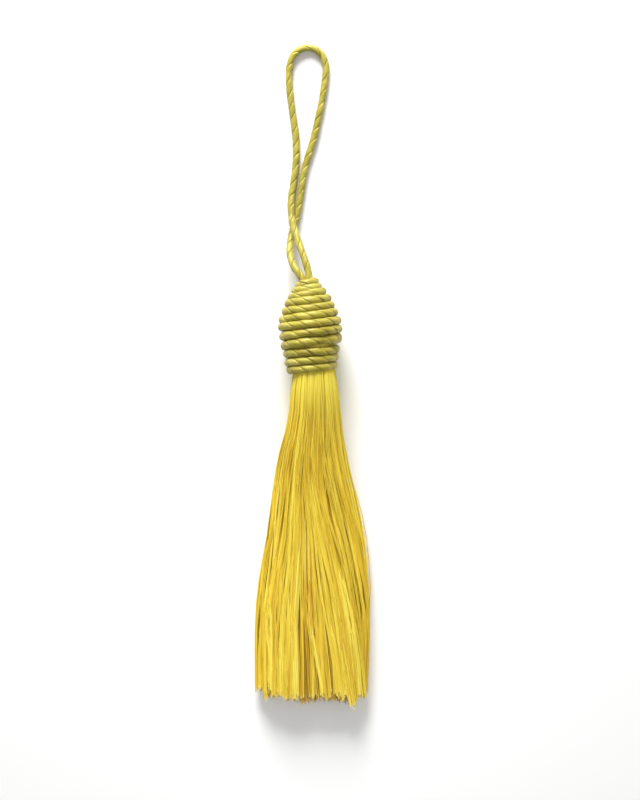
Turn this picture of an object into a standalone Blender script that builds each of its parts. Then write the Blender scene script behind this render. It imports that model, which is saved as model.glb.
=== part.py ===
# Silk tassel, lying flat: a hank of silk yarn, a cord wound round its head and a hanging loop.
# +Y runs from the cut ends to the loop and +Z is up. The surface that it lies on is Z = 0.
# Sizes below are in millimetres. The meshes are in metres.
import math

import bmesh
import bpy
from mathutils import Vector

MM = 0.001
GAP = 0.3  # clearance between pieces that touch

CORD_DIAMETER = 1.8
CORD_POINT_SPACING = 2 * CORD_DIAMETER

# The head: an egg of wound cord, its axis level and leaning to the left.
HEAD_BASE = Vector((0.2, 29.9, 7.9))  # centre of the winding's lower end
HEAD_LEAN = math.radians(4.3)
HEAD_LENGTH = 22.4
WINDING_TURNS = 12
RIDGE_DEPTH = 0.45  # how deep the groove between two turns is
RINGS_PER_TURN = 4
WINDING_COLUMNS = 40
HEAD_PROFILE = (
    # along the head from its base, outer radius
    (0.0, 6.05),
    (2.0, 6.45),
    (4.75, 6.95),
    (7.0, 7.4),
    (9.2, 7.85),
    (10.6, 8.05),
    (12.0, 7.75),
    (14.0, 6.95),
    (16.2, 5.85),
    (17.9, 5.0),
    (19.6, 3.65),
    (20.8, 2.7),
    (21.6, 2.2),
    (22.4, 2.0),
)
CORE_STATIONS = (20.3, 18.6, 16.4, 14.0, 12.0, 10.6, 8.0, 5.0, 2.4, 0.4)

# The neck, just under the winding, where the yarn swells out again.
SHOULDER = (
    # along the head from its base, radius, fullness
    (-0.35, 5.2, 2.0),
    (-1.0, 5.65, 2.0),
)

# The skirt, from the neck to the cut ends. A negative underside is cut off flat at Z = 0.
SKIRT = (
    # y, centre x, half width, underside z, top z, fullness, lean in degrees
    (27.0, 0.2, 5.8, 2.1, 13.5, 2.0, 3.2),
    (24.0, 0.3, 6.1, 1.3, 13.2, 2.0, 2.2),
    (20.0, 0.4, 6.5, 0.4, 12.6, 2.0, 1.2),
    (16.0, 0.3, 6.9, -0.2, 11.9, 2.1, 0.5),
    (11.0, 0.0, 7.8, -0.7, 11.2, 2.1, 0.0),
    (5.0, -0.1, 8.9, -1.0, 10.4, 2.2, 0.0),
    (-3.0, 0.3, 10.3, -1.3, 9.5, 2.3, 0.0),
    (-12.0, 0.7, 11.8, -1.5, 8.7, 2.3, 0.0),
    (-22.0, 0.4, 13.3, -1.7, 8.0, 2.4, 0.0),
    (-31.0, 0.1, 14.0, -1.8, 7.4, 2.4, 0.0),
    (-40.0, 0.0, 14.0, -1.9, 6.9, 2.4, 0.0),
    (-46.0, -0.1, 13.9, -1.9, 6.4, 2.4, 0.0),
    (-49.5, -0.2, 13.7, -1.9, 6.0, 2.4, 0.0),
)
LOCKS_START = 16.0  # where the locks begin to part, in y
UNEVEN_FROM = -40.0  # where the uneven cut begins to tell, in y
LOCK_COLUMNS = 5
CUT_INNER_SHARE = 0.6  # size of the ring inside the cut end, against the end itself
LOCKS = (
    # angular width in degrees, depth of the groove beside it, reach past the mean cut
    (34.0, 0.9, -0.2),
    (26.0, 0.8, 0.6),
    (24.0, 0.7, 2.75),
    (30.0, 1.1, 1.1),
    (28.0, 0.8, 1.9),
    (38.0, 1.0, 0.9),
    (34.0, 0.9, -0.6),
    (37.0, 0.8, -0.9),
    (36.0, 0.7, 0.8),
    (37.0, 0.8, 1.6),
    (36.0, 0.7, 0.2),
)

# The loop's route from the right of the crown, round its far end, to the left of the crown.
# It falls from the crown, crosses over its other leg, and lies on the surface from there on.
LOOP_ROUTE = (
    (-0.75, 52.9, 7.95),
    (-1.25, 55.4, 7.7),
    (-2.25, 58.4, 6.7),
    (-3.5, 61.9, 5.15),
    (-4.6, 65.4, 3.9),
    (-5.25, 69.1, 2.6),
    (-5.2, 72.6, 1.4),
    (-4.75, 75.9, 0.95),
    (-4.25, 79.9, 0.95),
    (-3.95, 83.9, 0.95),
    (-4.1, 88.4, 0.95),
    (-4.75, 93.1, 0.95),
    (-5.4, 97.9, 0.95),
    (-5.75, 101.9, 0.95),
    (-5.65, 105.4, 0.95),
    (-4.65, 108.5, 0.95),
    (-2.45, 110.15, 0.95),
    (0.15, 110.2, 0.95),
    (2.35, 108.7, 0.95),
    (3.4, 105.8, 0.95),
    (3.2, 102.2, 0.95),
    (2.6, 98.1, 0.95),
    (1.7, 93.4, 0.95),
    (0.6, 88.6, 0.95),
    (-0.7, 84.1, 0.95),
    (-1.85, 80.1, 0.95),
    (-2.5, 76.4, 0.95),
    (-3.0, 72.9, 0.95),
    (-3.65, 69.4, 1.0),
    (-4.5, 65.9, 1.4),
    (-5.3, 62.4, 2.7),
    (-5.5, 59.0, 4.9),
    (-4.6, 55.7, 7.0),
    (-2.85, 53.1, 7.8),
)


def hermite(table, at):
    """The columns after the first, read from a smooth curve through the table's rows."""
    rows = sorted(table)
    at = min(max(at, rows[0][0]), rows[-1][0])
    index = max(i for i in range(len(rows) - 1) if rows[i][0] <= at)
    low, high = rows[index], rows[index + 1]
    before = rows[max(index - 1, 0)]
    after = rows[min(index + 2, len(rows) - 1)]
    span = high[0] - low[0]
    t = (at - low[0]) / span
    values = []
    for column in range(1, len(low)):
        leave = (high[column] - before[column]) / (high[0] - before[0]) * span
        arrive = (after[column] - low[column]) / (after[0] - low[0]) * span
        values.append(
            (2 * t**3 - 3 * t**2 + 1) * low[column]
            + (t**3 - 2 * t**2 + t) * leave
            + (3 * t**2 - 2 * t**3) * high[column]
            + (t**3 - t**2) * arrive
        )
    return values


def ease(start, end, at):
    """0 at start and 1 at end, level at both."""
    t = min(max((at - start) / (end - start), 0.0), 1.0)
    return t * t * (3 - 2 * t)


def head_point(along):
    """The point on the head's axis this far from its base."""
    return HEAD_BASE + along * Vector((-math.sin(HEAD_LEAN), math.cos(HEAD_LEAN), 0))


def across(centre, lean, sideways, height, ahead=0.0):
    """A point of a section that leans this much: sideways, up, and ahead along the bundle."""
    x = centre.x + sideways * math.cos(lean) - ahead * math.sin(lean)
    y = centre.y + sideways * math.sin(lean) + ahead * math.cos(lean)
    return Vector((x, y, max(centre.z + height, 0.0)))


def skin(bm, rings, first_cap, last_cap):
    """Faces between neighbouring rings, and a fan of faces to a point at each end."""
    rows = [[bm.verts.new(point * MM) for point in ring] for ring in rings]
    count = len(rows[0])
    for near, far in zip(rows, rows[1:]):
        for i in range(count):
            j = (i + 1) % count
            bm.faces.new((near[i], near[j], far[j], far[i]))
    for row, cap in ((rows[0][::-1], first_cap), (rows[-1], last_cap)):
        tip = bm.verts.new(cap * MM)
        for i in range(count):
            bm.faces.new((row[i], row[(i + 1) % count], tip))


def finish(name, bm, material):
    """The mesh as one object, smooth but for its sharp edges."""
    bmesh.ops.triangulate(bm, faces=bm.faces[:])
    bmesh.ops.recalc_face_normals(bm, faces=bm.faces[:])
    mesh = bpy.data.meshes.new(name)
    bm.to_mesh(mesh)
    bm.free()
    mesh.shade_smooth()
    mesh.set_sharp_from_angle(angle=math.radians(50))
    mesh.materials.append(material)
    bpy.context.scene.collection.objects.link(bpy.data.objects.new(name, mesh))


def plain_material(name, colour, roughness):
    material = bpy.data.materials.new(name)
    material.use_nodes = True
    shader = material.node_tree.nodes["Principled BSDF"]
    shader.inputs["Base Color"].default_value = (*colour, 1.0)
    shader.inputs["Roughness"].default_value = roughness
    shader.inputs["Metallic"].default_value = 0.0
    return material


def lock_columns():
    """One row for each point round the skirt: its angle, its height on its lock, the groove
    beside it, and its lock's reach. The first lock is centred on the right-hand side."""
    angle = -math.radians(LOCKS[0][0]) / 2
    columns = []
    for width, groove, reach in LOCKS:
        for step in range(LOCK_COLUMNS):
            part = step / LOCK_COLUMNS
            crest = math.sin(math.pi * part) ** 0.6 if step else 0.0
            columns.append((angle + math.radians(width) * part, crest, groove, reach))
        angle += math.radians(width)
    return columns


def section(columns, centre, lean, half_width, half_height, fullness, parted=0.0, uneven=0.0):
    """One section of the bundle, with its locks parted and its cut uneven by these shares."""
    ring = []
    for angle, crest, groove, reach in columns:
        wide = math.copysign(abs(math.cos(angle)) ** (2 / fullness), math.cos(angle))
        tall = math.copysign(abs(math.sin(angle)) ** (2 / fullness), math.sin(angle))
        shrink = 1 - parted * groove * (1 - crest) / half_height
        drop = -uneven * (reach - 0.8 * (1 - crest))
        ring.append(
            across(centre, lean, half_width * wide * shrink, half_height * tall * shrink, drop)
        )
    return ring


def make_yarn_bundle(silk):
    """The hank: its core inside the winding, its neck, and the skirt with its parted locks."""
    columns = lock_columns()
    rings = []
    for along in CORE_STATIONS:
        radius = hermite(HEAD_PROFILE, along)[0] - CORD_DIAMETER - GAP
        rings.append(section(columns, head_point(along), HEAD_LEAN, radius, radius, 2.0))
    core_radius = HEAD_PROFILE[0][1] - CORD_DIAMETER - GAP
    rings.append(
        section(columns, head_point(-GAP), HEAD_LEAN, core_radius, core_radius, 2.0)
    )
    for along, radius, fullness in SHOULDER:
        rings.append(
            section(columns, head_point(along), HEAD_LEAN, radius, radius, fullness)
        )
    for y, centre_x, half_width, low, top, fullness, lean in SKIRT:
        centre = Vector((centre_x, y, (low + top) / 2))
        parted = ease(LOCKS_START, UNEVEN_FROM, y)
        uneven = ease(UNEVEN_FROM, SKIRT[-1][0], y)
        rings.append(
            section(
                columns,
                centre,
                math.radians(lean),
                half_width,
                (top - low) / 2,
                fullness,
                parted,
                uneven,
            )
        )
    cut_y, cut_x, _, low, top, _, _ = SKIRT[-1]
    cut = Vector((cut_x, cut_y, (low + top) / 2))
    inner = [cut + (point - cut) * CUT_INNER_SHARE for point in rings[-1]]
    rings.append([Vector((p.x, cut.y - 0.4, max(p.z, 0.8))) for p in inner])
    bm = bmesh.new()
    skin(bm, rings, head_point(CORE_STATIONS[0]), Vector((cut.x, cut.y - 0.2, cut.z)))
    finish("yarn_bundle", bm, silk)


def turned_ring(along, radius):
    """One ring of the winding. Its lowest points are pressed flat on the surface."""
    centre = head_point(along)
    step = 2 * math.pi / WINDING_COLUMNS
    angles = [i * step for i in range(WINDING_COLUMNS)]
    return [
        across(centre, HEAD_LEAN, radius * math.cos(a), radius * math.sin(a)) for a in angles
    ]


def make_head_winding(cord):
    """The wound cord as one turned shell, a ridge to each turn, open at its lower end."""
    rings = []
    inner_top = HEAD_LENGTH - CORD_DIAMETER
    stations = [inner_top * i / 11 for i in range(11, -1, -1)]
    for along in stations:
        rings.append(turned_ring(along, hermite(HEAD_PROFILE, along)[0] - CORD_DIAMETER))
    rows = WINDING_TURNS * RINGS_PER_TURN
    for row in range(rows + 1):
        along = HEAD_LENGTH * row / rows
        crest = abs(math.sin(math.pi * row / RINGS_PER_TURN)) ** 0.7
        radius = hermite(HEAD_PROFILE, along)[0] - RIDGE_DEPTH * (1 - crest)
        rings.append(turned_ring(along, radius))
    bm = bmesh.new()
    skin(bm, rings, head_point(inner_top), head_point(HEAD_LENGTH))
    finish("head_winding", bm, cord)


def smooth_route(points, samples=24):
    """A close polyline on a centripetal Catmull-Rom curve through the points."""
    points = [Vector(p) for p in points]
    ends = [2 * points[0] - points[1], 2 * points[-1] - points[-2]]
    run = [ends[0], *points, ends[1]]
    line = [points[0]]
    for p0, p1, p2, p3 in zip(run, run[1:], run[2:], run[3:]):
        t1 = (p1 - p0).length ** 0.5
        t2 = t1 + (p2 - p1).length ** 0.5
        t3 = t2 + (p3 - p2).length ** 0.5
        for step in range(1, samples + 1):
            t = t1 + (t2 - t1) * step / samples
            a1 = p0.lerp(p1, t / t1)
            a2 = p1.lerp(p2, (t - t1) / (t2 - t1))
            a3 = p2.lerp(p3, (t - t2) / (t3 - t2))
            b1 = a1.lerp(a2, t / t2)
            b2 = a2.lerp(a3, (t - t1) / (t3 - t1))
            line.append(b1.lerp(b2, (t - t1) / (t2 - t1)))
    return line


def evenly(line, spacing):
    """Points a constant length apart along the polyline, with both of its ends."""
    lengths = [0.0]
    for a, b in zip(line, line[1:]):
        lengths.append(lengths[-1] + (b - a).length)
    count = max(round(lengths[-1] / spacing), 1)
    points, index = [], 0
    for i in range(count + 1):
        want = lengths[-1] * i / count
        while index < len(line) - 2 and lengths[index + 1] < want:
            index += 1
        share = (want - lengths[index]) / (lengths[index + 1] - lengths[index])
        points.append(line[index].lerp(line[index + 1], share))
    return points


def make_hanging_loop(cord):
    """The loop as a plain tube along its route."""
    points = evenly(smooth_route(LOOP_ROUTE), CORD_POINT_SPACING)
    curve = bpy.data.curves.new("hanging_loop", "CURVE")
    curve.dimensions = "3D"
    curve.bevel_depth = CORD_DIAMETER / 2 * MM
    curve.bevel_resolution = 2
    curve.use_fill_caps = True
    spline = curve.splines.new("POLY")
    spline.points.add(len(points) - 1)
    for knot, point in zip(spline.points, points):
        knot.co = (*(point * MM), 1.0)
    spline.use_smooth = True
    curve.materials.append(cord)
    bpy.context.scene.collection.objects.link(bpy.data.objects.new("hanging_loop", curve))


def main():
    for obj in list(bpy.data.objects):
        bpy.data.objects.remove(obj)
    silk = plain_material("silk yarn", (0.68, 0.47, 0.06), 0.42)
    cord = plain_material("twisted cord", (0.5, 0.45, 0.12), 0.5)
    make_yarn_bundle(silk)
    make_head_winding(cord)
    make_hanging_loop(cord)


main()
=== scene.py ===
# Silk tassel: combed silk thread, a head wound with two-ply cord, and a hanging loop.
# Lengths are in millimetres, and become metres as each mesh is made.
import math

import bpy
import numpy as np
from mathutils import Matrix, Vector


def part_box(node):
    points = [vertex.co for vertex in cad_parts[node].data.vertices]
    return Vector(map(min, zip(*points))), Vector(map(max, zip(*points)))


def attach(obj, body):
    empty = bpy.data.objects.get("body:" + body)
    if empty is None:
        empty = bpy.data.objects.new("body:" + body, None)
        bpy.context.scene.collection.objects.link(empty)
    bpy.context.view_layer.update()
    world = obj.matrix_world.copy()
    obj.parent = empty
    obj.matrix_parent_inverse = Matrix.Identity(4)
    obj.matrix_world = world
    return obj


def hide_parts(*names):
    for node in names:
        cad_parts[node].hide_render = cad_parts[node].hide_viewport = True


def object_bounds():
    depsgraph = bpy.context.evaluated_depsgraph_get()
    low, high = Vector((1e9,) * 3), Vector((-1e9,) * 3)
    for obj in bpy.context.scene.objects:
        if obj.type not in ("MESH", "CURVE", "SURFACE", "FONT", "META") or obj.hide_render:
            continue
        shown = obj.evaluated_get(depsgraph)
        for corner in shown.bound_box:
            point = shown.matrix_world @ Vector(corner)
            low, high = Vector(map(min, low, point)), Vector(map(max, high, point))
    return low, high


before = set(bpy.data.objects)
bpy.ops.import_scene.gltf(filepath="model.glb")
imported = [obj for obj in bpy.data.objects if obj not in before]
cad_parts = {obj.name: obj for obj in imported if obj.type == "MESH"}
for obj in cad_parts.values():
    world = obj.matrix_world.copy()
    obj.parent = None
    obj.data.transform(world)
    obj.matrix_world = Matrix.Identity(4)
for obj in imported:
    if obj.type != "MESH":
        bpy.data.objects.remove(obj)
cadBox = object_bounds()
mm = 0.001


def smoothStep(low, high, value):
    share = np.clip((value - low) / (high - low), 0.0, 1.0)
    return share * share * (3 - 2 * share)


def unit(vectors):
    return vectors / np.linalg.norm(vectors, axis=-1, keepdims=True)


def lengthsAlong(line):
    steps = np.linalg.norm(np.diff(line, axis=0), axis=1)
    return np.concatenate([[0], np.cumsum(steps)])


def sectionSize(p, q, fullness):
    # how far out a place lies in a superellipse, 1 on its rim
    return (np.abs(p) ** fullness + np.abs(q) ** fullness) ** (1 / fullness)


frameValues = {
    "headSections": 12,
    "headClear": 2.5,  # the sections stay this far from the head's two ends
    "turnReach": 0.6,  # how far from its middle a turn is looked for, in turns
    "baseNarrower": 0.1,  # the head's two ends, against the turns beside them
    "crownNarrower": 0.3,
    "skirtSections": 26,
    "neckBelow": 1.2,  # below the winding's lowest corner
    "cutClear": 4.5,  # the last section, above the skirt's lowest corner
    "cutAbove": 2.7,  # the mean cut, above the same corner
}


def pointsOf(node):
    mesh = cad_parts[node].data
    flat = np.zeros(len(mesh.vertices) * 3)
    mesh.vertices.foreach_get("co", flat)
    return flat.reshape(-1, 3) / mm


def sliceAt(node, y):
    # lowest and highest corner of the node's section at this y
    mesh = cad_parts[node].data
    points = pointsOf(node)
    ends = np.zeros(len(mesh.edges) * 2, int)
    mesh.edges.foreach_get("vertices", ends)
    a, b = points[ends[::2]], points[ends[1::2]]
    crossing = (a[:, 1] - y) * (b[:, 1] - y) < 0
    a, b = a[crossing], b[crossing]
    cut = a + (b - a) * ((y - a[:, 1]) / (b[:, 1] - a[:, 1]))[:, None]
    return cut.min(axis=0), cut.max(axis=0)


def readHead(values, turns):
    # the head's axis, and its outer radius from the base to the crown
    low, high = [np.array(corner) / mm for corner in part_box("head_winding")]
    clear = values["headClear"]
    stations = np.linspace(low[1] + clear, high[1] - clear, values["headSections"])
    slices = [sliceAt("head_winding", y) for y in stations]
    middles = np.array([(a + b) / 2 for a, b in slices])
    slope, start = np.polyfit(stations, middles[:, 0], 1)
    height = np.median(middles[:, 2])
    axis = unit(np.array([slope, 1.0, 0.0]))
    anyPoint = np.array([start, 0.0, height])
    offset = pointsOf("head_winding") - anyPoint
    along = offset @ axis
    radius = np.linalg.norm(offset - along[:, None] * axis, axis=1)
    base, crown = along.min(), along.max()
    step = (crown - base) / turns
    middlesAlong = base + step * (np.arange(turns) + 0.5)
    near = step * values["turnReach"]
    widest = [radius[np.abs(along - m) < near].max() for m in middlesAlong]
    atBase, atCrown = widest[0] - values["baseNarrower"], widest[-1] - values["crownNarrower"]
    return {
        "base": anyPoint + base * axis,
        "axis": axis,
        "length": crown - base,
        "along": np.concatenate([[0.0], middlesAlong - base, [crown - base]]),
        "radius": np.concatenate([[atBase], widest, [atCrown]]),
    }


def readSkirt(values):
    # the skirt's section every few millimetres, from the neck to the cut
    low = np.array(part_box("yarn_bundle")[0]) / mm
    neck = np.array(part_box("head_winding")[0])[1] / mm - values["neckBelow"]
    stations = np.linspace(neck, low[1] + values["cutClear"], values["skirtSections"])
    slices = [sliceAt("yarn_bundle", y) for y in stations]
    a, b = (np.array(s) for s in zip(*slices))
    return {
        "y": stations[::-1],
        "middle": ((a + b) / 2)[::-1, 0],
        "half": ((b - a) / 2)[::-1, 0],
        "low": a[::-1, 2],
        "top": b[::-1, 2],
        "neck": neck,
        "cut": low[1] + values["cutAbove"],
    }


cameraValues = {
    "height": 720,  # above the surface that the tassel lies on
    "takesIn": 200,  # height of the picture, at the tassel
    "aside": 1.9,  # aim, from the middle of the whole tassel's box
    "below": -7.0,
}
# powers in watts, sizes and places in metres
lightValues = {
    "aim": (0.0, 0.02, 0.0),
    "keyPower": 8.8,
    "keySize": 0.3,
    "keyPlace": (-0.1, 0.66, 0.315),
    "fillPower": 0.9,
    "fillSize": 0.9,
    "fillPlace": (0.25, -0.15, 0.8),
    "spotPower": 4.8,  # a narrow soft beam from above, on the skirt
    "spotAngle": 9.0,
    "spotRadius": 0.05,
    "spotPlace": (0.0, -0.06, 0.9),
    "spotAim": (0.0, -0.028, 0.0),
    "roomStrength": 0.4,
    "roomColour": (1.0, 1.0, 1.0),
}
floorValues = {
    "side": 6.0,
    "surface": {
        "Base Color": (0.96, 0.96, 0.955, 1.0),
        "Roughness": 0.8,
        "Specular IOR Level": 0.2,
    },
}


def place(name, data, location):
    obj = bpy.data.objects.new(name, data)
    bpy.context.scene.collection.objects.link(obj)
    obj.location = location
    return obj


def aimAt(obj, aim):
    direction = Vector(aim) - obj.location
    obj.rotation_euler = direction.to_track_quat("-Z", "Y").to_euler()


def addCamera(values):
    low, high = cadBox
    camera = bpy.data.cameras.new("overheadCamera")
    camera.lens = camera.sensor_width * values["height"] / values["takesIn"]
    camera.clip_start, camera.clip_end = 0.01, 10.0
    x = (low.x + high.x) / 2 + values["aside"] * mm
    y = (low.y + high.y) / 2 + values["below"] * mm
    bpy.context.scene.camera = place("overheadCamera", camera, (x, y, values["height"] * mm))


def addAreaLight(values, which):
    name = which + "Light"
    light = bpy.data.lights.new(name, "AREA")
    light.energy = values[which + "Power"]
    light.size = values[which + "Size"]
    aimAt(place(name, light, values[which + "Place"]), values["aim"])


def addSpot(values):
    light = bpy.data.lights.new("skirtLight", "SPOT")
    light.energy = values["spotPower"]
    light.spot_size = math.radians(values["spotAngle"])
    light.spot_blend = 1.0
    light.shadow_soft_size = values["spotRadius"]
    aimAt(place("skirtLight", light, values["spotPlace"]), values["spotAim"])


def addRoom(values):
    world = bpy.data.worlds.new("paleRoom")
    world.use_nodes = True
    background = world.node_tree.nodes["Background"]
    background.inputs["Color"].default_value = (*values["roomColour"], 1.0)
    background.inputs["Strength"].default_value = values["roomStrength"]
    bpy.context.scene.world = world


def makeFloor(values):
    bpy.ops.object.select_all(action="DESELECT")
    bpy.ops.mesh.primitive_plane_add(size=values["side"], location=(0, 0, 0))
    floor = bpy.context.object
    floor.name = "paleFloor"
    _, shader = newMaterial(floor, "paleFloorPaint")
    setInputs(shader, values["surface"])


def newMaterial(obj, name):
    material = bpy.data.materials.new(name)
    material.use_nodes = True
    obj.data.materials.clear()
    obj.data.materials.append(material)
    return material.node_tree, material.node_tree.nodes["Principled BSDF"]


def setInputs(node, values):
    for socket, value in values.items():
        node.inputs[socket].default_value = value


def addNode(tree, kind, **settings):
    node = tree.nodes.new(kind)
    for key, value in settings.items():
        if hasattr(node, key):
            setattr(node, key, value)
        else:
            node.inputs[key.replace("_", " ")].default_value = value
    return node


def link(tree, source, output, taker, socket):
    tree.links.new(source.outputs[output], taker.inputs[socket])


def ramp(tree, stops):
    node = addNode(tree, "ShaderNodeValToRGB")
    elements = node.color_ramp.elements
    while len(elements) < len(stops):
        elements.new(0.5)
    for element, (position, colour) in zip(elements, stops):
        element.position = position
        element.color = (*colour, 1.0)
    return node


def mathNode(tree, operation, first, second):
    # each of first and second is a number or a (node, output) pair
    node = addNode(tree, "ShaderNodeMath", operation=operation)
    for index, value in enumerate((first, second)):
        if isinstance(value, tuple):
            link(tree, value[0], value[1], node, index)
        else:
            node.inputs[index].default_value = value
    return node


def weighted(tree, parts):
    # the weighted sum of the factors of the nodes, from (node, weight) pairs
    total = None
    for node, weight in parts:
        part = mathNode(tree, "MULTIPLY", (node, "Fac"), weight)
        total = part if total is None else mathNode(tree, "ADD", (total, 0), (part, 0))
    return total


def blend(tree, factor, first, second):
    # colour mix: each of first and second is a colour or a (node, output) pair
    node = addNode(tree, "ShaderNodeMix", data_type="RGBA")
    link(tree, factor[0], factor[1], node, 0)
    for index, value in ((6, first), (7, second)):
        if len(value) == 2:
            link(tree, value[0], value[1], node, index)
        else:
            node.inputs[index].default_value = (*value, 1.0)
    return node


def mapRange(tree, source, output, limits, **settings):
    # limits: from least, from most, to least, to most
    node = addNode(tree, "ShaderNodeMapRange", **settings)
    setInputs(node, dict(zip(("From Min", "From Max", "To Min", "To Max"), limits)))
    link(tree, source, output, node, "Value")
    return node, "Result"


def shareAlong(tree, coordinates, start, end, most):
    # 0 below start and the most above end, by the place along the tassel in metres
    split = addNode(tree, "ShaderNodeSeparateXYZ")
    link(tree, coordinates, "Object", split, "Vector")
    return mapRange(tree, split, "Y", (start, end, 0.0, most), interpolation_type="SMOOTHSTEP")


def stretchedNoise(tree, coordinates, output, scale, detail=2.0, turn=(0, 0, 0)):
    mapping = addNode(tree, "ShaderNodeMapping", Scale=scale, Rotation=turn)
    link(tree, coordinates, output, mapping, "Vector")
    noise = addNode(tree, "ShaderNodeTexNoise", Scale=1.0, Detail=detail, Roughness=0.55)
    link(tree, mapping, "Vector", noise, "Vector")
    return noise


def attributes(tree, *names):
    return [addNode(tree, "ShaderNodeAttribute", attribute_name=name) for name in names]


def tubeFaces(tubes, rings, sides):
    # quads round every tube
    ring = np.arange(rings - 1)[:, None] * sides
    side = np.arange(sides)[None, :]
    following = (side + 1) % sides
    quads = np.stack(
        [ring + side, ring + following, ring + sides + following, ring + sides + side], axis=-1
    ).reshape(-1, 4)
    start = np.arange(tubes)[:, None, None] * rings * sides
    return (quads[None] + start).reshape(-1, 4)


def addRunUv(mesh, run, quads, corners, sides):
    # u round each tube, and v along it
    around = np.tile(np.arange(sides), len(quads) // sides)
    u = np.stack([around, around + 1, around + 1, around], axis=-1) / sides
    v = np.repeat(run.reshape(-1), sides)
    cornerUv = np.zeros((len(corners), 2))
    cornerUv[: quads.size, 0] = u.ravel()
    cornerUv[:, 1] = v[corners]
    layer = mesh.uv_layers.new(name="run")
    layer.data.foreach_set("uv", cornerUv.astype(np.float32).ravel())


def sharpenRims(mesh, ringCount, sides):
    # so that the sides of the tubes shade evenly right up to their ends
    pairs = np.zeros(len(mesh.edges) * 2, np.int32)
    mesh.edges.foreach_get("vertices", pairs)
    ringOf = pairs.reshape(-1, 2) // sides
    rim = (ringOf[:, 0] == ringOf[:, 1]) & np.isin(ringOf[:, 0] % ringCount, (0, ringCount - 1))
    sharp = mesh.attributes.new("sharp_edge", "BOOLEAN", "EDGE")
    sharp.data.foreach_set("value", rim)


def meshFromTubes(name, rings, attributeValues, run=None):
    # rings: (tubes, rings, sides, 3). attributeValues: name to (tubes, rings, sides)
    tubes, ringCount, sides, _ = rings.shape
    quads = tubeFaces(tubes, ringCount, sides)
    first = np.arange(tubes)[:, None] * ringCount * sides
    nearCap = first + np.arange(sides)[None, ::-1]
    farCap = first + (ringCount - 1) * sides + np.arange(sides)[None]
    caps = np.concatenate([nearCap, farCap])
    mesh = bpy.data.meshes.new(name)
    points = rings.reshape(-1, 3) * mm
    mesh.vertices.add(len(points))
    mesh.vertices.foreach_set("co", points.astype(np.float32).ravel())
    corners = np.concatenate([quads.ravel(), caps.ravel()])
    mesh.loops.add(len(corners))
    mesh.loops.foreach_set("vertex_index", corners.astype(np.int32))
    sizes = np.concatenate([np.full(len(quads), 4), np.full(len(caps), sides)])
    starts = np.concatenate([[0], np.cumsum(sizes)[:-1]])
    mesh.polygons.add(len(sizes))
    mesh.polygons.foreach_set("loop_start", starts.astype(np.int32))
    mesh.polygons.foreach_set("loop_total", sizes.astype(np.int32))
    smooth = np.arange(len(sizes)) < len(quads)  # the ends are flat
    mesh.polygons.foreach_set("use_smooth", smooth)
    for key, values in attributeValues.items():
        layer = mesh.attributes.new(key, "FLOAT", "POINT")
        layer.data.foreach_set("value", values.astype(np.float32).ravel())
    if run is not None:
        addRunUv(mesh, run, quads, corners, sides)
    mesh.update(calc_edges=True)
    sharpenRims(mesh, ringCount, sides)
    return place(name, mesh, (0, 0, 0))


cordValues = {
    "diameter": 1.8,
    "layLength": 6.6,  # one full turn of the two plies
    "grooveDepth": 0.12,  # how far the two grooves go in, as a share of the radius
    "stepsPerLay": 16,
    "arcSteps": 9,  # points round the outside of a ply
    "inside": (0.02, 0.35),  # the flat inside of a ply: how far out, and how wide
    "wobble": 0.25,  # of the lay, in radians
    "wobbleKnots": 24,
    "swell": 0.045,  # of a ply's thickness, as a share
    "swellKnots": 90,
    "toneKnots": 160,
    "tipSize": 0.35,  # thickness of the very ends, as a share
    "tipLength": 0.7,
    "grooveShadeFrom": 1.1,  # angle from the middle of a ply, in radians, where the painted groove shade begins
    "grooveShadeTo": 1.5,
    "paleGrooveShade": 0.4,  # the one of the two grooves that gets less of the painted shade
    "patternLength": 3.0,  # of cord to one unit of its UV map
    "leastHeight": 0.02,  # no point lies lower over the surface
}
loopValues = {
    "rightEndIn": (4.2, 1.6),  # how far both ends run on into the crown
    "leftEndIn": (1.4, 4.0),
    "leftEndAside": (0.55, 0.7),
}

# the loop's route, from the right of the crown round to its left, in metres
loopRoute = (
    (-0.00075, 0.0529, 0.00795),
    (-0.00125, 0.0554, 0.0077),
    (-0.00225, 0.0584, 0.0067),
    (-0.0035, 0.0619, 0.00515),
    (-0.0046, 0.0654, 0.0039),
    (-0.00525, 0.0691, 0.0026),
    (-0.0052, 0.0726, 0.0014),
    (-0.00475, 0.0759, 0.00095),
    (-0.00425, 0.0799, 0.00095),
    (-0.00395, 0.0839, 0.00095),
    (-0.0041, 0.0884, 0.00095),
    (-0.00475, 0.0931, 0.00095),
    (-0.0054, 0.0979, 0.00095),
    (-0.00575, 0.1019, 0.00095),
    (-0.00565, 0.1054, 0.00095),
    (-0.00465, 0.1085, 0.00095),
    (-0.00245, 0.11015, 0.00095),
    (0.00015, 0.1102, 0.00095),
    (0.00235, 0.1087, 0.00095),
    (0.0034, 0.1058, 0.00095),
    (0.0032, 0.1022, 0.00095),
    (0.0026, 0.0981, 0.00095),
    (0.0017, 0.0934, 0.00095),
    (0.0006, 0.0886, 0.00095),
    (-0.0007, 0.0841, 0.00095),
    (-0.00185, 0.0801, 0.00095),
    (-0.0025, 0.0764, 0.00095),
    (-0.003, 0.0729, 0.00095),
    (-0.00365, 0.0694, 0.001),
    (-0.0045, 0.0659, 0.0014),
    (-0.0053, 0.0624, 0.0027),
    (-0.0055, 0.059, 0.0049),
    (-0.0046, 0.0557, 0.007),
    (-0.00285, 0.0531, 0.0078),
)


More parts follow.
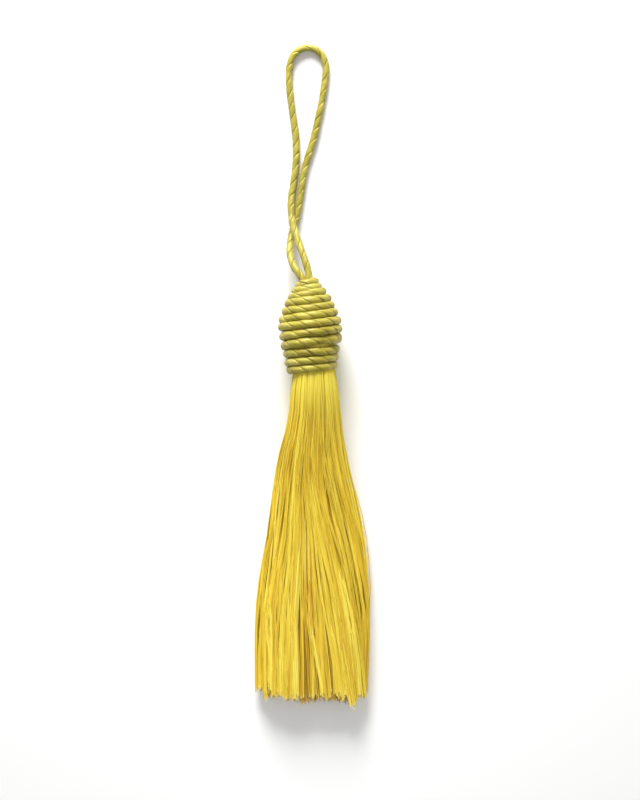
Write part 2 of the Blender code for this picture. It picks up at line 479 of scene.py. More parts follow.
def smoothRoute(points, samples=16):
    # a close polyline on a centripetal Catmull-Rom curve through the points
    points = np.asarray(points, float)
    run = np.vstack([2 * points[0] - points[1], points, 2 * points[-1] - points[-2]])
    line = [points[0]]
    for p0, p1, p2, p3 in zip(run, run[1:], run[2:], run[3:]):
        t1 = np.linalg.norm(p1 - p0) ** 0.5
        t2 = t1 + np.linalg.norm(p2 - p1) ** 0.5
        t3 = t2 + np.linalg.norm(p3 - p2) ** 0.5
        for t in np.linspace(t1, t2, samples + 1)[1:]:
            a1 = p0 + (p1 - p0) * t / t1
            a2 = p1 + (p2 - p1) * (t - t1) / (t2 - t1)
            a3 = p2 + (p3 - p2) * (t - t2) / (t3 - t2)
            b1 = a1 + (a2 - a1) * t / t2
            b2 = a2 + (a3 - a2) * (t - t1) / (t3 - t1)
            line.append(b1 + (b2 - b1) * (t - t1) / (t2 - t1))
    return np.array(line)


def evenly(line, spacing):
    # points a constant length apart along the polyline
    lengths = lengthsAlong(line)
    count = max(int(round(lengths[-1] / spacing)), 2)
    wanted = np.linspace(0, lengths[-1], count + 1)
    return np.stack([np.interp(wanted, lengths, line[:, k]) for k in range(3)], axis=1), wanted


def carriedFrame(path):
    # tangents, and one normal carried along the path with no twist of its own
    tangents = unit(np.gradient(path, axis=0))
    normal = np.cross(tangents[0], (0.0, 0.0, 1.0))
    normals = []
    for tangent in tangents:
        normal = unit(normal - tangent * (normal @ tangent))
        normals.append(normal)
    normals = np.array(normals)
    return tangents, normals, np.cross(tangents, normals)


def plySection(values):
    # half of the cord's section: a round outside between two grooves, and a flat, hidden inside
    arc = np.linspace(-math.pi / 2, math.pi / 2, values["arcSteps"])
    size = values["diameter"] / 2 * (1 - values["grooveDepth"] * (np.abs(arc) / arc[-1]) ** 5)
    out, wide = values["inside"]
    high = np.concatenate([size * np.cos(arc), [out, -out, out]])
    across = np.concatenate([size * np.sin(arc), [wide, 0.0, -wide]])
    angle = np.concatenate([arc, [math.pi / 2, 0, -math.pi / 2]])
    return high, across, angle


def layCord(name, line, values, seed, thickness=None):
    # two plies laid round each other along the line; thickness is a factor at each of its points
    rng = np.random.default_rng(seed)
    path, run = evenly(line, values["layLength"] / values["stepsPerLay"])
    tangents, normals, binormals = carriedFrame(path)
    count = len(path)
    thick = np.ones(count) if thickness is None else np.interp(run, lengthsAlong(line), thickness)
    high, across, angle = plySection(values)
    shape = (count, len(angle))

    def alongRun(knots):
        # from knots that are evenly spaced along the cord to every ring
        return np.interp(run, np.linspace(0, run[-1], len(knots)), knots)

    wobble = alongRun(rng.normal(0, values["wobble"], values["wobbleKnots"]))
    plies, tones, grooveShades, kinds = [], [], [], []
    for ply in range(2):
        turn = 2 * math.pi * run / values["layLength"] + ply * math.pi + wobble
        outward = np.cos(turn)[:, None] * normals + np.sin(turn)[:, None] * binormals
        sideways = np.cross(tangents, outward)
        swell = 1 + values["swell"] * alongRun(rng.normal(0, 1, values["swellKnots"]))
        fromEnd = smoothStep(0, values["tipLength"], np.minimum(run, run[-1] - run))
        swell = swell * thick * (values["tipSize"] + (1 - values["tipSize"]) * fromEnd)
        ring = high[None, :, None] * outward[:, None] + across[None, :, None] * sideways[:, None]
        rings = path[:, None] + ring * swell[:, None, None]
        rings[..., 2] = np.maximum(rings[..., 2], values["leastHeight"])
        plies.append(rings)
        # painted shade in the grooves between the plies, darkest in one of the two grooves
        darker = np.where(angle * (1 - 2 * ply) > 0, 1.0, values["paleGrooveShade"])
        grooveShade = smoothStep(values["grooveShadeFrom"], values["grooveShadeTo"], np.abs(angle)) * darker
        grooveShades.append(np.broadcast_to(grooveShade, shape))
        shade = alongRun(rng.uniform(0, 1, values["toneKnots"]))
        tones.append(np.broadcast_to(shade[:, None], shape))
        kinds.append(np.full(shape, float(ply)))
    alongUv = np.broadcast_to(run / values["patternLength"], (2, count))
    perPoint = {"grooveShade": np.array(grooveShades), "tone": np.array(tones), "ply": np.array(kinds)}
    return meshFromTubes(name, np.array(plies), perPoint, alongUv), path


twistedSilkValues = {
    "filamentScale": (26, 2.0, 1),  # round the ply, and along it
    "filamentTurn": (0, 0, 0.5),
    "patchScale": (240, 240, 240),
    "shadeFleckScale": (420, 420, 420),
    "weights": (0.55, 0.2, 0.35),  # of the filaments, of the ply's tone and of the patches
    "straw": (
        (0.3, (0.235, 0.175, 0.013)),
        (0.5, (0.42, 0.342, 0.034)),
        (0.66, (0.56, 0.472, 0.078)),
        (0.84, (0.68, 0.61, 0.19)),
    ),
    "green": (
        (0.3, (0.205, 0.172, 0.013)),
        (0.5, (0.385, 0.338, 0.033)),
        (0.66, (0.52, 0.472, 0.077)),
        (0.84, (0.65, 0.605, 0.19)),
    ),
    "greenShare": 0.6,  # in the second ply
    "plain": (0.44, 0.39, 0.075),  # painted light: paler and more even from the top of the head on, where the light falls more squarely
    "plainAlong": (0.038, 0.05, 0.3),  # from, to, and its share
    # the colour of the painted shade in the grooves
    "grooveShadeColour": (0.085, 0.058, 0.004),
    "shadeFlecks": (0.5, 0.66, 0.05, 0.75),  # from and to in the noise, and least and most of the painted groove shade
    "bumpStrength": 0.55,
    "bumpDepth": 0.00012,
    "surface": {
        "Roughness": 0.33,
        "Specular IOR Level": 0.5,
        "Specular Tint": (1.0, 0.97, 0.8, 1.0),
        "Sheen Weight": 0.1,
        "Sheen Roughness": 0.4,
        "Sheen Tint": (1.0, 0.95, 0.6, 1.0),
    },
}


def twistedSilk(obj, values):
    # straw-green silk: fine filaments round each ply, one ply greener, painted shade in the grooves
    # between the plies, and painted even light towards the crown
    tree, shader = newMaterial(obj, obj.name + "Silk")
    coordinates = addNode(tree, "ShaderNodeTexCoord")
    turn = values["filamentTurn"]
    filament = stretchedNoise(tree, coordinates, "UV", values["filamentScale"], turn=turn)
    patches = stretchedNoise(tree, coordinates, "Object", values["patchScale"])
    knots = stretchedNoise(tree, coordinates, "Object", values["shadeFleckScale"], detail=1.0)
    tone, grooveShade, ply = attributes(tree, "tone", "grooveShade", "ply")
    shade = weighted(tree, zip((filament, tone, patches), values["weights"]))
    straw, green = ramp(tree, values["straw"]), ramp(tree, values["green"])
    for colours in (straw, green):
        link(tree, shade, 0, colours, "Fac")
    part = mathNode(tree, "MULTIPLY", (ply, "Fac"), values["greenShare"])
    mixed = blend(tree, (part, 0), (straw, "Color"), (green, "Color"))
    # painted light over the top of the head and the loop
    high = shareAlong(tree, coordinates, *values["plainAlong"])
    mixed = blend(tree, high, (mixed, 2), values["plain"])
    # the painted groove shade, broken into notches by the noise
    shadeFlecks = mapRange(tree, knots, "Fac", values["shadeFlecks"])
    depth = mathNode(tree, "MULTIPLY", (grooveShade, "Fac"), shadeFlecks)
    final = blend(tree, (depth, 0), (mixed, 2), values["grooveShadeColour"])
    link(tree, final, 2, shader, "Base Color")
    bump = addNode(tree, "ShaderNodeBump")
    setInputs(bump, {"Strength": values["bumpStrength"], "Distance": values["bumpDepth"]})
    link(tree, filament, "Fac", bump, "Height")
    link(tree, bump, "Normal", shader, "Normal")
    setInputs(shader, values["surface"])


def makeLoop(values):
    route = np.array(loopRoute) / mm
    # both ends run on down into the crown, under the first turns
    first = route[0] - np.multiply.outer(values["rightEndIn"], head["axis"])
    last = route[-1] - np.multiply.outer(values["leftEndIn"], head["axis"])
    last[:, 0] += values["leftEndAside"]
    line = smoothRoute(np.vstack([first, route, last]))
    obj, path = layCord("loopCord", line, cordValues, seed=3)
    twistedSilk(obj, twistedSilkValues)
    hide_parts("hanging_loop")
    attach(obj, "root")
    print("loop laid:", round(float(lengthsAlong(path)[-1]), 1), "mm of cord")


windingValues = {
    # where each turn lies along the head: on the left of its front, in the middle, on the right
    "turnPlaces": (
        (21.1, 21.5, 21.7), (19.8, 20.2, 20.6), (18.3, 18.8, 19.3), (16.85, 17.15, 17.5),
        (14.9, 15.2, 15.75), (12.85, 13.4, 14.0), (11.2, 11.45, 12.0), (9.0, 9.4, 9.9),
        (6.75, 7.2, 7.6), (4.6, 4.45, 4.65), (2.35, 2.35, 2.8), (0.4, 0.35, 0.8),
    ),
    "besideMiddle": 0.155,  # how far from the middle the left and the right are, in turns
    "stepsPerTurn": 90,
    "smoothedOver": 17,  # steps
    "wander": 0.08,
    "wanderKnots": 40,
    "leastRadius": 1.8,
    "tuckTurn": 0.22,  # each end goes in under the turns beside it over this part of a turn
    "startTuck": (0.9, 1.2),  # inwards, and along the head
    "endTuck": (1.5, 1.3),
    # where the cord spreads beside the one gap: (turn, factor)
    "widerAt": (
        (8.55, 1.0), (8.72, 1.3), (8.87, 1.3), (8.9, 1.0), (8.97, 1.0), (9.02, 1.14), (9.3, 1.14),
        (9.45, 1.0),
    ),
    "cordDiameter": 2.1,  # pulled tight, the cord lies a little wider than in the loop
}


def headPoints(along, radius, angle):
    axis = head["axis"]
    right = np.array([axis[1], -axis[0], 0.0])
    up = np.array([0.0, 0.0, 1.0])
    return (
        head["base"]
        + np.multiply.outer(along, axis)
        + np.multiply.outer(radius * np.cos(angle), right)
        + np.multiply.outer(radius * np.sin(angle), up)
    )


def makeWinding(values):
    rng = np.random.default_rng(11)
    half = values["cordDiameter"] / 2
    places = np.array(values["turnPlaces"])[:, ::-1]
    turn = np.arange(0.5, len(places) + 0.5, 1 / values["stepsPerTurn"])
    known = np.arange(1, len(places) + 1)[:, None] + values["besideMiddle"] * np.array([-1, 0, 1])
    along = np.interp(turn, known.ravel(), places.ravel())
    over = values["smoothedOver"]
    padded = np.pad(along, over // 2, "reflect", reflect_type="odd")
    along = np.convolve(padded, np.ones(over) / over, "valid")
    radius = np.interp(along, head["along"], head["radius"]) - half
    radius = np.maximum(radius, values["leastRadius"])
    knots = np.linspace(turn[0], turn[-1], values["wanderKnots"])
    along = along + np.interp(turn, knots, rng.normal(0, values["wander"], len(knots)))
    radius = radius + np.interp(turn, knots, rng.normal(0, values["wander"], len(knots)))
    last = len(places) + 0.5
    start = 1 - smoothStep(0.5, 0.5 + values["tuckTurn"], turn)
    end = smoothStep(last - values["tuckTurn"], last, turn)
    radius = radius - values["startTuck"][0] * start - values["endTuck"][0] * end
    along = along - values["startTuck"][1] * start + values["endTuck"][1] * end
    line = headPoints(along, radius, 2 * math.pi * turn + math.pi / 2)
    line[:, 2] = np.maximum(line[:, 2], half)
    thickness = np.interp(turn, *np.array(values["widerAt"]).T)
    cord = {**cordValues, "diameter": values["cordDiameter"]}
    obj, path = layCord("headCord", line, cord, seed=5, thickness=thickness)
    twistedSilk(obj, twistedSilkValues)
    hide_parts("head_winding")
    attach(obj, "root")
    print("head wound:", len(places), "turns,", round(float(lengthsAlong(path)[-1])), "mm of cord")


threadValues = {
    "diameter": 0.27,
    "thickness": (0.85, 1.15),  # least and most, as a share
    "ownTone": 0.25,  # share of a thread's tone that isn't its strand's
    "strands": 420,
    "threadsInStrand": 8,
    "surfaceShare": 0.28,  # how far the strands crowd towards the outside
    "outermost": 0.97,
    "spreadAtNeck": 0.85,  # how far the threads of a strand lie from its middle
    "spreadBelow": 0.3,
    "gatheredDownTo": 0.35,  # the share of the way down that it takes to fall into strands
    "breathing": 0.3,  # how much a strand's spread varies along it
    "flare": 0.25,  # and how much it grows at the cut
    "looseShare": 0.12,  # threads that keep to no strand
    "looseSpread": 2.2,
    "strayShare": 0.07,  # of those at the two edges
    "strayFrom": 0.86,  # how far across such a thread lies
    "strayReach": (0.3, 1.3),
    "strandDrift": (2.2, 0.7),  # sideways and upwards, at the cut ends
    "driftAt": -40.0,  # the place along the tassel whose section scales the drift
    "driftGrowth": 1.3,
    "strandWave": 0.5,
    "wavesInStrand": (1.3, 2.4),
    "threadTurn": 1.2,  # round its strand, either way, in radians
    "threadWander": 0.06,
    "uneven": (0.8, 0.45),  # between strands, and between the threads of one
    "fullness": 2.3,  # of the section: 2 is an ellipse, and more is squarer
    "strandLimit": 1.04,  # how far out strands and threads may lie, in shares of the section
    "threadLimit": 1.03,
    # along the tassel, each of the next places is where a change starts and where it is full
    "pressedFlat": 1.3,  # how far the underside comes down to the surface
    "flatFrom": (16, 2),
    "neckTrim": 0.22,  # the neck is a little narrower on its left
    "trimFrom": (10, 18),
    "squeeze": (0.06, 0.2),  # shares that the neck is drawn in by, and then by the winding
    "squeezeFrom": ((-2.0, 1.0), (1.3, 2.6)),  # from the neck
    "squareFrom": (14, 2),  # square to the head's axis
    "clear": 0.13,  # between the threads' middles and the outside
    # the right-hand side fans: it turns over the edge, more and more towards the cut ends
    "fanTurn": 56,  # degrees
    "fanGathered": 0.35,  # share of the turn that is taken back at the neck
    "fanFrom": (-0.4, 0.36),  # none at the first place across, all of it at the second
    "fanStart": (0.08, 0.4),  # how far down it starts, from lock to lock
    "fanGrowth": 1.15,
    # locks that sweep across the rest: place in the section, width, sweep, lift, from, to
    "sweeps": (
        (0.05, 0.1, 0.34, 0.9, 2.4, 0.25, 0.8),
        (0.0, -0.3, 0.3, 0.9, 2.6, 0.25, 0.9),
        (0.02, 0.85, 0.07, 1.6, 0.3, 0.30, 1.3),
        (-0.14, 0.75, 0.09, 1.8, 0.3, 0.20, 1.3),
        (-0.26, 0.85, 0.08, -1.3, 0.3, 0.12, 1.1),
        (-0.58, 0.65, 0.13, -1.9, 0.4, 0.30, 1.2),
        (-0.42, 0.90, 0.07, 1.8, 0.6, 0.30, 1.2),
        (-0.75, 0.60, 0.08, 1.9, 0.7, 0.45, 1.3),
        (0.28, 0.85, 0.05, -2.4, 0.7, 0.45, 1.3),
        (-0.05, 0.92, 0.05, 1.9, 0.7, 0.50, 1.3),
        (0.62, 0.65, 0.06, -1.8, 0.6, 0.35, 1.2),
        (-0.88, 0.30, 0.06, 1.6, 1.4, 0.40, 1.2),
    ),
    "sweepTall": 0.32,  # height of such a lock in the section
    # how far past the mean cut the ends reach: (place across the skirt, reach)
    "cutReach": (
        (-14, -0.9), (-11, 0.3), (-7, 0.9), (-3, 1.7), (1.5, 1.9), (5, 1.0), (8.5, 1.2), (9.6, 2.6),
        (10.6, 2.6), (11.6, 0.8), (14.5, -0.3),
    ),
    "depthTo": (0.35, 0.8),  # places from the middle out: all of the painted inner shade, and none of it
    "tipLightShare": 0.4,  # of the painted light on the cut ends
    "leastHeight": 0.01,  # no point lies lower over the surface
    "ringsAt": (
        31.6, 29.6, 27.8, 24.4, 19.8, 14.8, 9.8, 4.8, -0.5, -6, -11.5, -17, -23, -29, -35, -41.5,
        -48.9, -49.5,
    ),
}
skirtHeartValues = {
    "strands": 60,
    "place": (-0.02, -0.12),  # across the section and up it, in shares
    "halfSize": (0.5, 0.42),
    "spread": 0.36,
    "wave": 0.3,
    "shorter": 0.5,  # than the threads round it
    # how much of the painted inner shade its threads take
    "depth": 0.85,
}
combedSilkValues = {
    "streakScale": (2200, 60, 2200),
    "bandScale": (420, 22, 420),
    "weights": (0.2, 0.45, 0.45),  # of the streaks, of the thread's tone and of the bands
    "golden": (
        (0.3, (0.60, 0.355, 0.014)),
        (0.5, (0.83, 0.60, 0.034)),
        (0.68, (0.92, 0.73, 0.072)),
        (0.85, (0.98, 0.88, 0.17)),
    ),
    "neckSheen": (0.88, 0.77, 0.09),  # painted sheen: paler at the neck, where the smooth threads catch the light
    "neckSheenAlong": (0.014, 0.027, 0.6),  # from, to, and its share
    "inner": (0.50, 0.20, 0.004),  # painted shade, deep between the strands
    "innerShare": 0.65,
    # painted light on the cut ends
    "cutEnd": (0.97, 0.9, 0.4),
    "surface": {
        "Roughness": 0.31,
        "Specular IOR Level": 0.5,
        "Sheen Weight": 0.05,
        "Sheen Roughness": 0.35,
        "Sheen Tint": (1.0, 0.92, 0.5, 1.0),
    },
}


def combedSilk(obj, values):
    # golden silk: tone by thread, streaks along it, painted sheen that makes it paler at the neck,
    # painted shade deeper inside, and painted light on the cut ends
    tree, shader = newMaterial(obj, obj.name + "Silk")
    coordinates = addNode(tree, "ShaderNodeTexCoord")
    streaks = stretchedNoise(tree, coordinates, "Object", values["streakScale"])
    bands = stretchedNoise(tree, coordinates, "Object", values["bandScale"])
    tone, depth, tip = attributes(tree, "tone", "depth", "tip")
    shade = weighted(tree, zip((streaks, tone, bands), values["weights"]))
    golden = ramp(tree, values["golden"])
    link(tree, shade, 0, golden, "Fac")
    # painted sheen at the neck
    neck = shareAlong(tree, coordinates, *values["neckSheenAlong"])
    neckSheen = blend(tree, neck, (golden, "Color"), values["neckSheen"])
    # painted shade deep inside, by how far in each thread lies
    inner = mathNode(tree, "MULTIPLY", (depth, "Fac"), values["innerShare"])
    shadedInside = blend(tree, (inner, 0), (neckSheen, 2), values["inner"])
    final = blend(tree, (tip, "Fac"), (shadedInside, 2), values["cutEnd"])
    link(tree, final, 2, shader, "Base Color")
    setInputs(shader, values["surface"])


def skirtSection(y):
    # middle and half width across, then middle and half height
    keys = ("middle", "half", "low", "top")
    middle, half, low, top = (np.interp(y, skirt["y"], skirt[k]) for k in keys)
    low = low - threadValues["pressedFlat"] * smoothStep(*threadValues["flatFrom"], y)
    trim = threadValues["neckTrim"] * smoothStep(*threadValues["trimFrom"], y)
    middle, half = middle + trim, half - trim
    return middle, half, (low + top) / 2, (top - low) / 2


def evenScatter(count, fullness, rng):
    # places spread evenly over a superellipse of half size 1, each the best of some tries
    triesEach = 60
    metric = np.array([1.0, 0.55])  # the skirt is about half as thick as it is wide
    chosen = np.zeros((count, 2))
    for n in range(count):
        tries = rng.uniform(-1, 1, (triesEach, 2))
        tries = tries[(np.abs(tries) ** fullness).sum(axis=1) < 1]
        apart = np.linalg.norm((tries[:, None] - chosen[None, :n]) * metric, axis=2)
        chosen[n] = tries[apart.min(axis=1).argmax()] if n else tries[0]
    return chosen


def keepInside(p, q, fullness, limit):
    size = sectionSize(p, q, fullness)
    scale = np.where(size > limit, limit / size, 1.0)
    return p * scale, q * scale


def tubesAlong(paths, radius):
    # four-sided tubes along the threads
    along = unit(np.gradient(paths, axis=1))
    sideways = unit(np.cross(along, np.array([0.0, 0.0, 1.0])))
    up = np.cross(sideways, along)
    angle = 2 * math.pi * (np.arange(4) + 0.5) / 4
    ring = (
        np.cos(angle)[None, None, :, None] * sideways[:, :, None]
        + np.sin(angle)[None, None, :, None] * up[:, :, None]
    )
    return paths[:, :, None] + ring * radius[:, None, None, None]


def finishThreads(name, paths, radius, tone, depth):
    least = threadValues["leastHeight"]
    paths[..., 2] = np.maximum(paths[..., 2], radius[:, None] + 2 * least)
    rings = tubesAlong(paths, radius)
    rings[..., 2] = np.maximum(rings[..., 2], least)
    shape = rings.shape[:3]
    # painted light on the last ring, at the cut ends
    tip = np.zeros(shape[1])
    tip[-1] = threadValues["tipLightShare"]
    perPoint = {
        "tone": np.broadcast_to(tone[:, None, None], shape),
        "depth": np.broadcast_to(depth[..., None], shape),
        "tip": np.broadcast_to(tip[None, :, None], shape),
    }
    obj = meshFromTubes(name, rings, perPoint)
    combedSilk(obj, combedSilkValues)
    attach(obj, "root")
    return obj


def fanOut(p, q, home, fallen, values):
    # turns the right-hand side over the edge, each place keeping its distance from the rim
    fullness = values["fullness"]
    first, last = values["fanStart"]
    begin = first + (last - first) * (0.5 + 0.5 * np.sin(9 * home[:, 0] + 3 * home[:, 1] + 1))
    share = np.clip((fallen - begin[:, None]) / (1 - begin[:, None]), 0, 1) ** values["fanGrowth"]
    share = (share - values["fanGathered"]) * smoothStep(*values["fanFrom"], home[:, 0])[:, None]
    direction = np.arctan2(q, p) - math.radians(values["fanTurn"]) * share
    across, above = np.cos(direction), np.sin(direction)
    size = sectionSize(p, q, fullness) / sectionSize(across, above, fullness)
    return size * across, size * above


def strandPaths(values, rng):
    # every strand's middle, in shares of the section, at each ring
    count, fullness = values["strands"], values["fullness"]
    home = evenScatter(count, fullness, rng)
    size = sectionSize(home[:, :1], home[:, 1:], fullness)
    home = home * values["outermost"] * size ** -values["surfaceShare"]
    _, half, _, tall = skirtSection(values["driftAt"])
    drift = rng.normal(0, 1, (count, 2)) * np.array(values["strandDrift"]) / (half, tall)
    y = np.array(values["ringsAt"])
    run = smoothStep(skirt["neck"], skirt["cut"], y)[None, :]
    wave = np.zeros((count, len(y), 2))
    for waves in values["wavesInStrand"]:
        phase = rng.uniform(0, 2 * math.pi, (count, 1, 2))
        often = waves * rng.uniform(0.8, 1.2, (count, 1, 2))
        wave += np.sin(2 * math.pi * often * run[..., None] + phase) / waves
    wave *= values["strandWave"] * run[..., None] / np.array([half, tall])
    grown = run[..., None] ** values["driftGrowth"]
    middle = home[:, None] + drift[:, None] * grown + wave
    p, q = middle[..., 0], middle[..., 1]
    fallen = (skirt["neck"] - y) / (skirt["neck"] - skirt["cut"])
    for placeP, placeQ, width, sweep, lift, start, end in values["sweeps"]:
        away = np.hypot((home[:, 0] - placeP) / width, (home[:, 1] - placeQ) / values["sweepTall"])
        share = smoothStep(1.5, 0.9, away)[:, None] * np.clip((fallen - start) / (end - start), 0, 1)
        p = p + share * sweep / half
        q = q + share * lift / tall
    p, q = fanOut(p, q, home, fallen, values)
    return keepInside(p, q, fullness, values["strandLimit"])


def placesInStrand(values, rng, mine, run):
    # how far each thread lies from the middle of its strand at each ring, in millimetres
    total, count = len(mine), values["strands"]
    loose = rng.uniform(0, 1, total) < values["looseShare"]
    angle = rng.uniform(0, 2 * math.pi, total)
    reach = np.sqrt(rng.uniform(0, 1, total))
    turn = rng.uniform(-values["threadTurn"], values["threadTurn"], total)[:, None] * run
    gathered = 1 - smoothStep(0.0, values["gatheredDownTo"], run)
    spread = values["spreadBelow"] + (values["spreadAtNeck"] - values["spreadBelow"]) * gathered
    waves, phase = rng.uniform(1, 2.5, count)[:, None], rng.uniform(0, 1, count)[:, None]
    breathing = values["breathing"] * np.sin(2 * math.pi * (waves * run + phase))
    spread = spread * (1 + breathing[mine] * run) * (1 + values["flare"] * run**6)
    spread = spread * np.where(loose, values["looseSpread"], 1.0)[:, None]
    knots = rng.normal(0, values["threadWander"], (total, 2, run.shape[1] + 2))
    knots = (knots[..., :-2] + 2 * knots[..., 1:-1] + knots[..., 2:]) / 2.4  # no sharp kinks
    knots[..., -1] = knots[..., -2]
    knots = knots * (0.3 + run)[:, None]
    dx = np.cos(angle[:, None] + turn) * reach[:, None] * spread + knots[:, 0]
    dz = np.sin(angle[:, None] + turn) * reach[:, None] * spread * 0.85 + knots[:, 1]
    return dx, dz


def mixedTone(own, strand):
    share = threadValues["ownTone"]
    return share * own + (1 - share) * strand


def downToCut(plan, endX, uneven):
    # y of every ring, the lower ones drawn to the thread's own cut end, and the share of the way down
    endY = plan[-1] - np.interp(endX, *np.array(threadValues["cutReach"]).T) + uneven
    share = (plan[0] - plan) / (plan[0] - plan[-1])
    return plan + (endY[:, None] - plan[-1]) * smoothStep(0.3, 1.0, share), share


def makeSkirt(values):
    rng = np.random.default_rng(7)
    count, each = values["strands"], values["threadsInStrand"]
    strandP, strandQ = strandPaths(values, rng)
    strandTone, strandReach = rng.uniform(0, 1, count), rng.normal(0, 1, count)
    mine = np.repeat(np.arange(count), each)
    total = len(mine)
    plan = np.array(values["ringsAt"])
    run = smoothStep(skirt["neck"], skirt["cut"], plan)[None, :]
    dx, dz = placesInStrand(values, rng, mine, run)
    # from shares of the section to millimetres
    middle, half, up, tall = skirtSection(plan)
    p = strandP[mine] + dx / (half - 0.1)
    q = strandQ[mine] + dz / (tall - 0.1)
    p, q = keepInside(p, q, values["fullness"], values["threadLimit"])
    between, within = values["uneven"]
    uneven = between * strandReach[mine] + rng.normal(0, within, total)
    y, down = downToCut(plan, middle[-1] + p[:, -1] * half[-1], uneven)
    level = plan - skirt["neck"]
    squeeze = 1 - sum(
        share * smoothStep(*limits, level)
        for share, limits in zip(values["squeeze"], values["squeezeFrom"])
    )
    x = middle + p * (half - values["clear"]) * squeeze
    z = up + q * (tall - values["clear"]) * squeeze
    lean = head["axis"][0] / head["axis"][1]
    y = y - (x - middle) * lean * (1 - smoothStep(*values["squareFrom"], y))
    # a few threads stray out past the two edges
    side = p[:, len(plan) // 2]
    stray = (np.abs(side) > values["strayFrom"]) & (rng.uniform(0, 1, total) < values["strayShare"])
    bulge = np.sin(math.pi * np.clip(down * rng.uniform(1.0, 1.5, (total, 1)), 0, 1)) ** 2
    outwards = np.sign(side) * rng.uniform(*values["strayReach"], total) * stray
    x = x + outwards[:, None] * bulge
    z = np.where(stray[:, None], z * (1 - 0.5 * bulge), z)
    paths = np.stack([x, y, z], axis=-1)
    radius = values["diameter"] / 2 * rng.uniform(*values["thickness"], total)
    tone = mixedTone(rng.uniform(0, 1, total), strandTone[mine])
    # how far in each thread lies sets its share of the painted inner shade
    size = sectionSize(p, q, values["fullness"]) ** values["fullness"]
    size = (size + size.mean(axis=1, keepdims=True)) / 2
    depth = 1 - smoothStep(*values["depthTo"], size)
    # four pieces, by the strands' order across the skirt
    rank = np.argsort(np.argsort(strandP[:, len(plan) // 3])) / count
    for n, name in enumerate(("skirtFarLeft", "skirtLeft", "skirtRight", "skirtFarRight")):
        chosen = (rank[mine] * 4).astype(int) == n
        piece = finishThreads(name, paths[chosen], radius[chosen], tone[chosen], depth[chosen])
        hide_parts("yarn_bundle")
    print("skirt combed:", total, "threads in", count, "strands")


def makeSkirtHeart(values):
    # the imported middle of the skirt, which shows where the threads are cut, in painted inner shade
    rng = np.random.default_rng(29)
    count, each = values["strands"], threadValues["threadsInStrand"]
    home = evenScatter(count, 2.0, rng) * np.array(values["halfSize"]) + np.array(values["place"])
    mine = np.repeat(np.arange(count), each)
    total = len(mine)
    plan = np.array(threadValues["ringsAt"])
    run = smoothStep(skirt["neck"], skirt["cut"], plan)
    middle, half, up, tall = skirtSection(plan)
    angle = rng.uniform(0, 2 * math.pi, total)
    reach = values["spread"] * np.sqrt(rng.uniform(0, 1, total))
    phase = rng.uniform(0, 2 * math.pi, (2, count))[:, mine, None]
    wave = values["wave"] * np.sin(2 * math.pi * threadValues["wavesInStrand"][0] * run + phase) * run
    x = middle + home[mine, :1] * half + (np.cos(angle) * reach)[:, None] + wave[0]
    z = up + home[mine, 1:] * tall + (np.sin(angle) * reach)[:, None] + wave[1]
    between, within = threadValues["uneven"]
    uneven = between * rng.normal(0, 1, count)[mine] + rng.normal(0, within, total)
    y, _ = downToCut(plan, x[:, -1], values["shorter"] + uneven)
    radius = threadValues["diameter"] / 2 * rng.uniform(*threadValues["thickness"], total)
    tone = mixedTone(rng.uniform(0, 1, total), rng.uniform(0, 1, count)[mine])
    paths = np.stack([x, y, z], axis=-1)
    piece = finishThreads("skirtHeart", paths, radius, tone, np.full(x.shape, values["depth"]))
    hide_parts("yarn_bundle")
    print("skirt filled:", total, "threads in its middle")


headYarnValues = {
    "threads": 150,
    "diameter": 0.52,
    "rings": 14,
    "under": 1.72,  # below the outside of the winding
    "pastBase": 0.6,
    "clearCrown": 1.2,
    "uneven": 0.25,  # of their spacing
    "swirl": 0.012,  # in radians
    "rise": 0.05,
    "depth": 0.3,  # most of the painted inner shade
    "neckSize": (1.5, 4.3, 0.3),  # how far up it goes, its radius at the base, and its growth
}
headHeartValues = {
    "under": 2.0,
    "steps": 12,
    "sides": 32,
    "clear": (0.8, 2.5),  # from the head's base and from its crown
    "neckSize": (4.0, 0.5),  # radius at the base, and growth
    "streakScale": (1800, 50, 1800),
    # dark orange-brown: painted shade for the middle of the head behind its yarn
    "colours": ((0.35, (0.30, 0.16, 0.008)), (0.65, (0.52, 0.31, 0.02))),
    "surface": {"Roughness": 0.6, "Specular IOR Level": 0.3},
}


def makeHeadYarn(values):
    # the yarn that the winding goes round: it shows wherever two turns part
    rng = np.random.default_rng(17)
    count, rings = values["threads"], values["rings"]
    along = np.linspace(-values["pastBase"], head["length"] - values["clearCrown"], rings)
    radius = np.interp(along, head["along"], head["radius"]) - values["under"]
    neckEnd, neckRadius, growth = values["neckSize"]
    radius = np.where(along < neckEnd, np.minimum(radius, neckRadius + growth * along), radius)
    spacing = np.arange(count) + rng.uniform(-values["uneven"], values["uneven"], count)
    around = 2 * math.pi * spacing / count
    swirl = rng.normal(0, values["swirl"], (count, rings))
    rise = rng.normal(0, values["rise"], count)
    line = np.stack([headPoints(along, radius + r, a + s) for r, a, s in zip(rise, around, swirl)])
    thick = np.full(count, values["diameter"] / 2)
    depth = np.repeat(rng.uniform(0.0, values["depth"], (count, 1)), rings, axis=1)
    piece = finishThreads("headYarn", line, thick, rng.uniform(0, 1, count), depth)
    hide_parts("yarn_bundle")
    print("head filled:", count, "yarns")


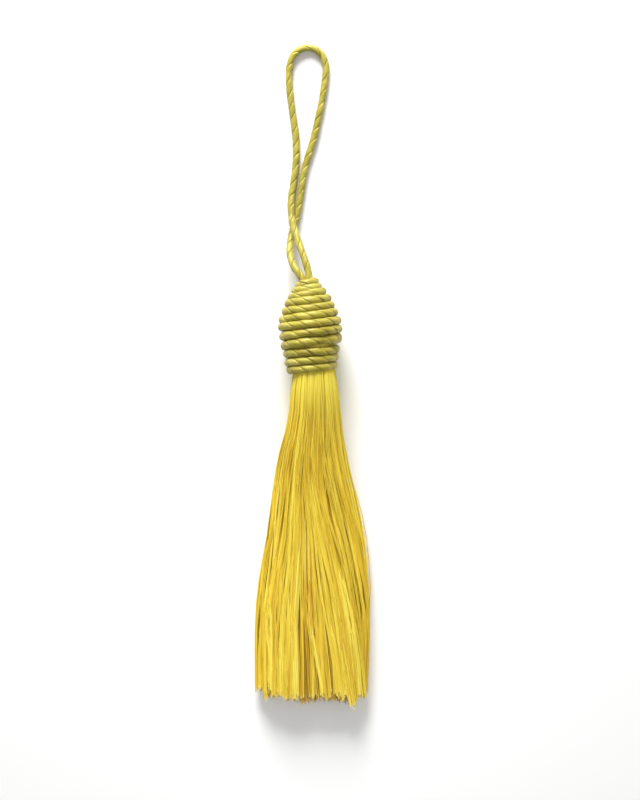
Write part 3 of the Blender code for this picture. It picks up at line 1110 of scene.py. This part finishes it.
def makeHeadHeart(values):
    # the imported middle of the head, behind its yarn, in painted shade: a disc drawn out along the
    # head's axis
    bpy.ops.object.select_all(action="DESELECT")
    clearBase, clearCrown = values["clear"]
    reach = np.linspace(clearBase, head["length"] - clearCrown, values["steps"])
    radii = np.interp(reach, head["along"], head["radius"]) - values["under"]
    neckRadius, growth = values["neckSize"]
    radii = np.minimum(radii, neckRadius + growth * reach)
    lean = math.atan2(head["axis"][0], head["axis"][1])
    centre = (head["base"] + reach[0] * head["axis"]) * mm
    bpy.ops.mesh.primitive_circle_add(
        vertices=values["sides"],
        radius=radii[0] * mm,
        fill_type="NGON",
        location=tuple(centre),
        rotation=(-math.pi / 2, 0, -lean),
    )
    heart = bpy.context.object
    heart.name = "headHeart"
    bpy.ops.object.transform_apply(location=True, rotation=True, scale=True)
    bpy.ops.object.mode_set(mode="EDIT")
    bpy.ops.mesh.select_mode(type="FACE")
    bpy.ops.mesh.select_all(action="SELECT")
    for before, after, small, large in zip(reach, reach[1:], radii, radii[1:]):
        step = head["axis"] * (after - before) * mm
        bpy.ops.mesh.extrude_region_move(TRANSFORM_OT_translate={"value": tuple(step)})
        middle = (head["base"] + after * head["axis"]) * mm
        bpy.ops.transform.resize(value=(large / small,) * 3, center_override=tuple(middle))
    bpy.ops.mesh.select_all(action="SELECT")
    bpy.ops.mesh.normals_make_consistent(inside=False)
    bpy.ops.object.mode_set(mode="OBJECT")
    bpy.ops.object.shade_smooth()
    tree, shader = newMaterial(heart, "headHeartSilk")
    coordinates = addNode(tree, "ShaderNodeTexCoord")
    streaks = stretchedNoise(tree, coordinates, "Object", values["streakScale"])
    colours = ramp(tree, values["colours"])
    link(tree, streaks, "Fac", colours, "Fac")
    link(tree, colours, "Color", shader, "Base Color")
    setInputs(shader, values["surface"])
    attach(heart, "root")
    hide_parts("yarn_bundle")


head = readHead(frameValues, len(windingValues["turnPlaces"]))
skirt = readSkirt(frameValues)
print("frame read: head", round(float(head["length"]), 1), "mm long")

bpy.context.scene.view_settings.view_transform = "Standard"
addCamera(cameraValues)
addRoom(lightValues)
addAreaLight(lightValues, "key")
addAreaLight(lightValues, "fill")
addSpot(lightValues)
print("camera and lights placed")

makeLoop(loopValues)
makeWinding(windingValues)
makeHeadHeart(headHeartValues)
makeHeadYarn(headYarnValues)
makeSkirt(threadValues)
makeSkirtHeart(skirtHeartValues)
makeFloor(floorValues)
